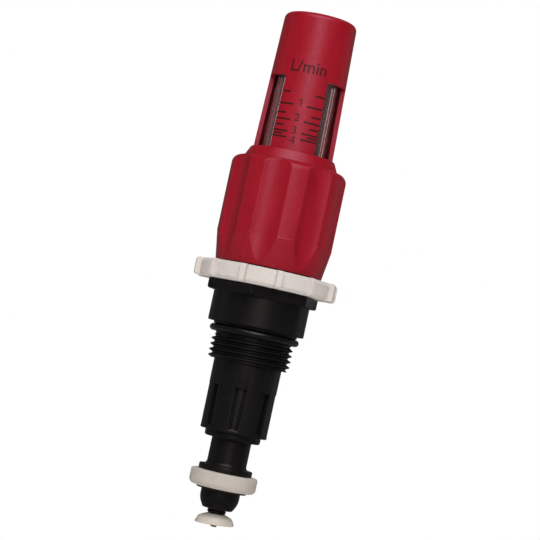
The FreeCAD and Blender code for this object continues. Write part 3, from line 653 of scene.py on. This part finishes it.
add("sight_glass_skin", turned([
    (GLASS_R[0] - GLASS_WALL, GLASS_FOOT_Z[0]), (GLASS_FOOT_R, GLASS_FOOT_Z[0]),
    (GLASS_FOOT_R, GLASS_FOOT_Z[1]), (GLASS_R[0], GLASS_FOOT_Z[1]),
    (GLASS_R[1], GLASS_TOP_Z, GLASS_TOP_ROUND), (0, GLASS_TOP_Z), (0, GLASS_TOP_Z - GLASS_WALL),
    (GLASS_R[1] - GLASS_WALL, GLASS_TOP_Z - GLASS_WALL, 0.8)], steps=8),
    "handle", "sight_glass", "sight_glass")


# ---- lock ring ------------------------------------------------------------------------------------

def lock_ring_surface():
    """Ring that swings between two outlines of equal count: the rim's, chamfered, and the ribs',
    rounded. Near a rib a column keeps a fixed distance s to the side of the rib's middle, at the
    angle asin(s / r), so that the rib's sides are parallel; the columns between share the rest."""
    bottom, top = RING_Z
    bore = RING_SEAT_R + RING_PLAY

    def section(r, cut, rounding):
        return rounded([(bore, bottom), (r - cut, bottom, rounding), (r, bottom + cut, rounding),
                        (r, top - cut, rounding), (r - cut, top, rounding), (bore, top)])

    rim, rib = section(RING_R, RING_CHAMFER, 0.08), section(RING_RIB_R, 0.55, 0.5)
    side = np.array([(0, 1), (.35, 1), (.62, 1), (.76, .975), (.84, .90), (RING_RIB_HALF, .78),
                     (RING_RIB_HALF, .12), (.90, .03), (.99, 0)])
    between = np.array([0.06, 0.25, 0.5, 0.75, 1.0])
    weight = np.concatenate([side[:, 1], 0 * between])[:, None]
    half = 180 / RING_RIB_COUNT
    section_at = rim + weight[:, :, None] * (rib - rim)
    r, z = section_at[..., 0], section_at[..., 1]
    near = np.degrees(np.arcsin(side[:, :1] / r[:len(side)]))
    last = np.degrees(np.arcsin(side[-1, 0] / r[len(side):]))
    off = np.concatenate([near, last + between[:, None] * (half - last)])
    mirrored = slice(-2, 0, -1)
    off = np.concatenate([off, -off[mirrored]])
    r, z = np.concatenate([r, r[mirrored]]), np.concatenate([z, z[mirrored]])
    ribs = RING_RIB_FIRST_AT + 2 * half * np.arange(RING_RIB_COUNT)
    order = np.where(off[:, :1] < 0, off[:, :1] + 2 * half, off[:, :1])
    angle = ribs[:, None, None] + np.where(order > half + 1e-6, off + 2 * half, off)
    shape = (RING_RIB_COUNT, *r.shape)
    points = in_plan(angle, np.broadcast_to(r, shape), np.broadcast_to(z, shape))
    points = points.reshape(-1, *points.shape[2:])
    return points, quads(numbered(points))


add("lock_ring_skin", lock_ring_surface(), "lock", "ring_plastic", "lock_ring")


# ---- black body -----------------------------------------------------------------------------------

def collar_surface():
    """Neck, ring seat, spanner hex and shoulder: the outline's radius, cut back to f / cos a by the
    hex's flats, at an angle a from a flat's middle."""
    line = spread(rounded([
        (BODY_BORE_R, THREAD_Z[1]), (RELIEF_R, THREAD_Z[1]), (SEAT_NECK_R, RELIEF_TOP_Z),
        (SEAT_NECK_R, SEAT_NECK_TOP_Z), (UNDERCUT_R, UNDERCUT_Z, 0.2), (UNDERCUT_R, SHOULDER_Z),
        (SHOULDER_R, SHOULDER_Z, 0.3), (SHOULDER_R, HEX_Z[0], 0.2),
        (HEX_CORNER_R, HEX_Z[0], HEX_BOTTOM_ROUND), (HEX_CORNER_R, HEX_Z[1], 0.3),
        (RING_SEAT_R, HEX_Z[1]), (RING_SEAT_R, BEAD_Z[0]), (BEAD_R, BEAD_Z[0]), (BEAD_R, BEAD_EDGE_Z),
        (NECK_R, BEAD_Z[1]), (NECK_R, NECK_TOP_Z, 0.3), (BODY_BORE_R, NECK_TOP_Z)], steps=6), 3.0)
    spacing = np.linspace(-1, 1, 49)[:-1]
    off = 30 * np.sign(spacing) * np.abs(spacing) ** 0.7
    angle = (HEX_CORNER_AT + 30 + 60 * np.arange(6)[:, None] + off).ravel()[:, None]
    flat = HEX_FLAT_R / np.cos(np.radians(np.tile(off, 6)))[:, None]
    radius = smooth_min(line[:, 0] + 0 * angle, flat, HEX_BLEND)
    radius = np.where(line[:, 0] < SHOULDER_R + 0.02, line[:, 0], radius)
    points = in_plan(angle, radius, line[:, 1])
    return points, quads(numbered(points))


def thread_surface():
    """Right-hand thread. Rows climb with the angle, z = z0 + pitch (v + angle / 360), and stop at
    both end planes. Radius = root + depth h, where h is 1 across a crest and falls evenly to 0 along
    its flanks, cut back by a cone at each end."""
    crest, root = THREAD_FLANK
    half = np.array([0, .06, crest, .14, .25, .35, root, .44])
    cycle = np.concatenate([half, [0.5], 1 - half[:0:-1]])
    turns = np.arange(-5, 3)
    v = (turns[:, None] + cycle).ravel()
    angle = np.linspace(-180, 180, 241)[:, None]
    z = THREAD_CREST_Z + THREAD_PITCH * (v + angle / 360)
    inside = np.clip(z, *THREAD_Z)
    away = np.abs((inside - THREAD_CREST_Z) / THREAD_PITCH - angle / 360 + 0.5) % 1 - 0.5
    height = np.clip((root - np.abs(away)) / (root - crest), 0, 1)
    radius = THREAD_ROOT_R + THREAD_DEPTH * height
    radius = np.minimum(radius, LEAD_IN_R + (inside - THREAD_Z[0]) * LEAD_IN_SLOPE)
    radius = np.minimum(radius, RELIEF_R + np.maximum(RUN_OUT_Z - inside, 0) * RUN_OUT_SLOPE)
    radius = np.where(inside >= THREAD_Z[1], RELIEF_R, radius)
    radius = np.where(inside <= THREAD_Z[0], THREAD_ROOT_R, radius)
    bore = np.full_like(angle, BODY_BORE_R)
    radius = np.concatenate([bore, radius, bore], 1)
    inside = np.concatenate([0 * bore + THREAD_Z[0], inside, 0 * bore + THREAD_Z[1]], 1)
    points = in_plan(angle, radius, inside)
    return points, quads(numbered(points), wrap_columns=False)


def guide_surface():
    """Tapered guide with blind slots. In the slots' rows a point at s to the side of a slot's middle
    moves from the guide's surface, sqrt(R^2 - s^2) out, to the slot's own section, which narrows
    downwards and ends in a round lip, a quarter of an ellipse."""
    line = rounded([
        (GUIDE_BORE_R, BODY_END_Z), (BODY_END_R, BODY_END_Z, BODY_END_ROUND), (BODY_END_R, GUIDE_END_Z),
        (GUIDE_R[1], GUIDE_END_Z, 0.35), (GUIDE_R[0], THREAD_Z[0]), (GUIDE_BORE_R, THREAD_Z[0])])
    lower = line[line[:, 1] < SLOT_Z[0] - 0.2][1:]
    upper = line[line[:, 1] > SLOT_Z[1] + 0.2]
    swing = np.radians([0, 10, 20, 32, 45, 60, 75, 90])
    slot_z = np.array([*(SLOT_Z[0] + SLOT_LIP_HEIGHT * np.sin(swing)),
                       *np.linspace(*SLOT_Z, 8)[1:-1], SLOT_Z[1], SLOT_Z[1], SLOT_Z[1] + 0.13])
    in_slot = np.array([*(1 - np.cos(swing)), *np.ones(6), 1, 0.06, 0])
    slot_r = np.interp(slot_z, (GUIDE_END_Z, THREAD_Z[0]), GUIDE_R[::-1])
    rows = np.concatenate([line[:1], lower, np.stack([slot_r, slot_z], -1), upper])
    weight = np.zeros(len(rows))
    weight[1 + len(lower):1 + len(lower) + len(slot_z)] = in_slot

    r, z = rows.T
    half_rib, half_slot = (np.interp(z, SLOT_Z, halves) for halves in (SLOT_RIB_HALF, SLOT_HALF))
    side = np.array([(0, 0, SLOT_RIB_R), (.6, 0, SLOT_RIB_R), (.86, 0, SLOT_RIB_R - .01),
                     (1, 0, SLOT_RIB_R - .1), (1, 0, SLOT_FLOOR_R + .08), (.9, .15, SLOT_FLOOR_R),
                     (.1, .85, SLOT_FLOOR_R), (0, 1, SLOT_FLOOR_R + .1), (0, 1, -0.14),
                     (0, 1.03, -0.05), (0, 1.09, 0), (0, 1.25, 0)])
    depth = side[:, 2:]
    s = side[:, :1] * half_rib + side[:, 1:2] * half_slot
    surface = np.sqrt(np.maximum(r ** 2 - s ** 2, 1))
    target = np.where(depth > 1, depth, surface + depth)
    out = surface + weight * (target - surface)
    near, near_r = np.degrees(np.arctan2(s, out)), np.hypot(s, out)
    share = np.array([0.2, 0.45, 0.7, 1.0])[:, None]
    half = 180 / SLOT_COUNT
    between = near[-1] + share * (half - near[-1])
    off = np.concatenate([near, between])
    radius = np.concatenate([near_r, np.broadcast_to(r, between.shape)])
    mirrored = slice(-2, 0, -1)
    off = np.concatenate([off, 2 * half - off[mirrored]])
    radius = np.concatenate([radius, radius[mirrored]])
    angle = (SLOT_FIRST_AT + 2 * half * np.arange(SLOT_COUNT))[:, None, None] + off
    points = in_plan(angle, np.broadcast_to(radius, angle.shape), z).reshape(-1, len(z), 3)
    return points, quads(numbered(points))


add("body_collar", collar_surface(), "root", "black_plastic", "valve_body")
add("body_thread", thread_surface(), "root", "black_plastic", "valve_body", crease=50)
add("body_guide", guide_surface(), "root", "black_plastic", "valve_body")
add("manifold_o_ring_skin", turned([
    (SEAT_NECK_R, O_RING_Z[0], 0.3), (O_RING_R, O_RING_Z[0], 0.88),
    (O_RING_R, O_RING_Z[1], 0.88), (SEAT_NECK_R, O_RING_Z[1], 0.3)],
    columns=200, steps=10), "root", "o_ring_rubber", "manifold_o_ring")


# ---- stem and seal --------------------------------------------------------------------------------

add("stem_skin", turned([
    (STEM_BORE_R, SPRING_Z[0]), (ROD_BORE_R, SPRING_Z[0]), (ROD_BORE_R, WASHER_Z),
    (GUIDE_BUSH_R, WASHER_Z), (GUIDE_BUSH_R, SPIGOT_END_Z), (SPIGOT_THREAD_R, SPIGOT_END_Z),
    (SPIGOT_THREAD_R, WASHER_Z), (SPIGOT_R, WASHER_Z), (SPIGOT_R, FLANGE_Z[0]),
    (FLANGE_R, FLANGE_Z[0], 0.2), (FLANGE_R, FLANGE_Z[1], 0.25), (STEM_R, FLANGE_Z[1], FLANGE_FILLET),
    (STEM_R, STEM_NECK_Z[0]), (STEM_NECK_R, STEM_NECK_Z[0]), (STEM_NECK_R, STEM_NECK_Z[1]),
    (STEM_HEAD_R, STEM_NECK_Z[1]), (STEM_HEAD_R, STEM_HEAD_TOP_Z), (STEM_BORE_R, STEM_HEAD_TOP_Z)]),
    "stem", "black_plastic", "valve_stem")
add("seal_skin", turned([
    (SPIGOT_R, SEAL_Z[0]), (SEAL_R, SEAL_Z[0], SEAL_ROUNDS[0]), (SEAL_R, SEAL_Z[1], SEAL_ROUNDS[1]),
    (SPIGOT_R, SEAL_Z[1])], steps=8, columns=200),
    "stem", "seal_rubber", "valve_seal")
add("washer_skin", turned([
    (SPIGOT_R, WASHER_Z), (WASHER_R, WASHER_Z, 0.1), (WASHER_R, SEAL_Z[0], 0.1),
    (SPIGOT_R, SEAL_Z[0])]),
    "stem", "washer_plastic", "seal_washer")
add("retainer_skin", turned([
    (GUIDE_BUSH_R, RETAINER_END_Z), (RETAINER_END_R, RETAINER_END_Z, RETAINER_END_ROUND),
    (RETAINER_R, RETAINER_END_Z + RETAINER_CORNER_HEIGHT, RETAINER_CORNER_ROUND),
    (RETAINER_R, WASHER_Z),
    (SPIGOT_THREAD_R, WASHER_Z), (SPIGOT_THREAD_R, SPIGOT_END_Z), (GUIDE_BUSH_R, SPIGOT_END_Z)],
    steps=8),
    "stem", "black_plastic", "seal_retainer")


# ---- float ----------------------------------------------------------------------------------------

def flow_disc_surface():
    """Domed disc, hollow below: a surface of revolution turned by the tilt, +X side up, about a line
    along Y that crosses the axis just above the rim's foot, and cut off level under the collar."""
    bottom, top = DISC_Z
    points, faces = turned([
        (ROD_R, top + 0.20), (2.6, top - 0.10, 0.8), (4.5, top - 0.90, 1.4), (DISC_R, bottom + 0.35),
        (DISC_R, bottom, 0.15), (4.55, bottom, 0.15), (3.6, top - 1.6, 0.8), (HUB_R, top - 1.4),
        (HUB_R, bottom + 0.3), (ROD_R, bottom + 0.3)][::-1], steps=6)
    tilt = math.radians(DISC_TILT)
    x, y, z = np.moveaxis(points - (0, 0, DISC_TILT_Z), -1, 0)
    return np.stack([x * math.cos(tilt) - z * math.sin(tilt), y,
                     np.minimum(x * math.sin(tilt) + z * math.cos(tilt) + DISC_TILT_Z, top)], -1), faces


def spring_surface():
    """Coil: a round section of the wire carried along a helix, and drawn together at both ends."""
    turn = np.linspace(0, 360 * SPRING_TURNS, 40 * SPRING_TURNS + 1)[:, None]
    turn = np.concatenate([turn[:1], turn, turn[-1:]])
    size = np.ones_like(turn)
    size[[0, -1]] = 0
    middle = np.interp(turn, (0, 360 * SPRING_TURNS),
                       (SPRING_Z[0] + SPRING_WIRE_R, SPRING_Z[1] - SPRING_WIRE_R))
    section = np.linspace(0, 2 * math.pi, 12, endpoint=False)
    points = in_plan(turn, SPRING_MEAN_R + SPRING_WIRE_R * size * np.cos(section),
                     middle + SPRING_WIRE_R * size * np.sin(section))
    return points, quads(numbered(points), wrap_columns=False)


add("rod_skin", turned([(0, ROD_Z[0]), (ROD_R, ROD_Z[0], 0.35), (ROD_R, ROD_Z[1]), (0, ROD_Z[1])],
                       closed=False, columns=48), "float", "rod_brass", "flow_rod")
add("collar_skin", turned([
    (ROD_R, DISC_Z[1]), (HUB_R, DISC_Z[1]), (HUB_BEAD_R, HUB_BEAD_Z[0], 0.15),
    (HUB_BEAD_R, HUB_BEAD_Z[1], 0.15), (HUB_R, HUB_TOP_Z), (ROD_R, HUB_TOP_Z)], columns=96),
    "float", "black_plastic", "flow_collar")
add("flow_disc_skin", flow_disc_surface(), "float", "disc_plastic", "flow_disc")
add("indicator_skin", turned([
    (ROD_R, INDICATOR_HOLLOW_Z), (INDICATOR_HOLLOW_R, INDICATOR_HOLLOW_Z),
    (INDICATOR_HOLLOW_R, INDICATOR_Z[0]), (INDICATOR_R, INDICATOR_Z[0]),
    (INDICATOR_R, INDICATOR_Z[1], 0.6), (ROD_R, INDICATOR_Z[1])], columns=96),
    "float", "bush_plastic", "indicator")
coil = add("return_spring_coil", spring_surface(), "stem", "spring_steel", "return_spring")
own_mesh(coil)


# ---- studio ---------------------------------------------------------------------------------------

FLOOR_Z = -0.085
FLOOR_RINGS = 60
FADE_FROM, FADE_OVER = 0.06, 0.10            # where the floor starts to fade, and over what distance
FLOOR_GLOW, AMBIENT, BACKDROP, ROOM = 0.16, 0.16, 0.16, 0.03
LAMP_AIM = Vector((0, 0, 0.02))


def rays(finish):
    """1 for rays from the camera or through glass, else 0, and the same for rays off gloss."""
    camera_ray, glass_ray, glossy_ray = (
        finish.node("ShaderNodeLightPath", output="Is " + kind + " Ray")
        for kind in ("Camera", "Transmission", "Glossy"))
    return camera_ray.larger(glass_ray), glossy_ray


def floor():
    """Pale flat disc at one height, in rings whose radius grows as their number to the power 1.5. It
    keeps the shadow and fades into the backdrop."""
    line = np.stack([np.linspace(0, 3.0, FLOOR_RINGS) ** 1.5 / MM,
                     np.full(FLOOR_RINGS, FLOOR_Z / MM)], -1)
    angle = np.linspace(0, 360, 96, endpoint=False)[:, None]
    points = in_plan(angle, line[:, 0], line[:, 1])
    mesh = bpy.data.meshes.new("floor")
    mesh.from_pydata(points.reshape(-1, 3) * MM, [],
                     quads(numbered(points), wrap_rows=False).reshape(-1, 4)[:, ::-1].tolist())
    finish = Finish(bpy.data.materials.new("floor_finish"))
    x, y = finish.along("X"), finish.along("Y")
    far = ((x * x + y * y).root() - FADE_FROM) / FADE_OVER
    grain = finish.noise(4.0, 3.0)
    matt = finish.surface(Base_Color=finish.mixed(grain, linear(232, 231, 229), linear(236, 235, 234)),
                          Roughness=0.9, Emission_Color=WHITE, Emission_Strength=FLOOR_GLOW)
    seen, off_gloss = rays(finish)
    plain = finish.node("ShaderNodeEmission", (),
                        {"Color": WHITE, "Strength": seen + off_gloss * BACKDROP})
    shown = finish.node("ShaderNodeMixShader", (), {
        0: (far.clamped(0, 1) * seen + off_gloss).clamped(0, 1), 1: matt, 2: plain})
    mesh.materials.append(finish.done(shown))
    made = bpy.data.objects.new("floor", mesh)
    bpy.context.scene.collection.objects.link(made)


def sky():
    """White where it is seen directly or through glass, plain soft grey light on the object, and
    for gloss a dim room that brightens evenly towards the side behind the object."""
    world = bpy.data.worlds.new("studio")
    bpy.context.scene.world = world
    finish = Finish(world)
    seen, off_gloss = rays(finish)
    behind = (finish.along("Y") * BACKDROP).clamped(ROOM, 1)
    strength = (seen * (1.0 - AMBIENT) + AMBIENT) * (1 - off_gloss) + behind * off_gloss
    finish.done(finish.node("ShaderNodeBackground", (), {"Color": WHITE, "Strength": strength}))


def lamp(name, azimuth, elevation, distance, width, height, power, in_gloss=True):
    """Soft lamp that looks at the object from an azimuth off the front and an elevation."""
    light = bpy.data.lights.new(name, "AREA")
    light.shape, light.size, light.size_y, light.energy = "RECTANGLE", width, height, power
    made = bpy.data.objects.new(name, light)
    made.visible_glossy = in_gloss
    a, e = math.radians(azimuth), math.radians(elevation)
    towards = Vector((math.sin(a) * math.cos(e), -math.cos(a) * math.cos(e), math.sin(e)))
    made.location = LAMP_AIM + towards * distance
    made.rotation_mode = "QUATERNION"
    made.rotation_quaternion = towards.to_track_quat("Z", "Y")
    bpy.context.scene.collection.objects.link(made)


def camera():
    """View from the front and slightly from below, with the object's axis leaning to the right."""
    distance, elevation, roll = 0.540, math.radians(-2.9), math.radians(12.07)
    target, shift = Vector((0, 0, 0.01945)), 0.000498
    back = Vector((0, -math.cos(elevation), math.sin(elevation)))
    right = Vector((1, 0, 0))
    up = back.cross(right)
    across = right * math.cos(roll) + up * math.sin(roll)
    upright = up * math.cos(roll) - right * math.sin(roll)
    lens = bpy.data.cameras.new("camera")
    lens.lens, lens.sensor_width, lens.clip_start = 134.8, 36.0, 0.01
    made = bpy.data.objects.new("camera", lens)
    made.matrix_world = Matrix.Translation(target + back * distance + across * shift) @ Matrix(
        (across, upright, back)).transposed().to_4x4()
    bpy.context.scene.collection.objects.link(made)
    bpy.context.scene.camera = made


floor()
sky()
lamp("key", -4, 56, 0.9, 0.70, 0.40, 5.7)
lamp("front", 2, 19, 1.1, 0.40, 0.36, 3.5)
lamp("rim", 121, 6, 0.9, 0.06, 0.50, 0.14)
lamp("side", -97, 6, 0.9, 0.06, 0.50, 0.14)
lamp("back", 180, 50, 0.9, 0.60, 0.40, 3.0, in_gloss=False)
camera()
bpy.context.scene.view_settings.view_transform = "Standard"
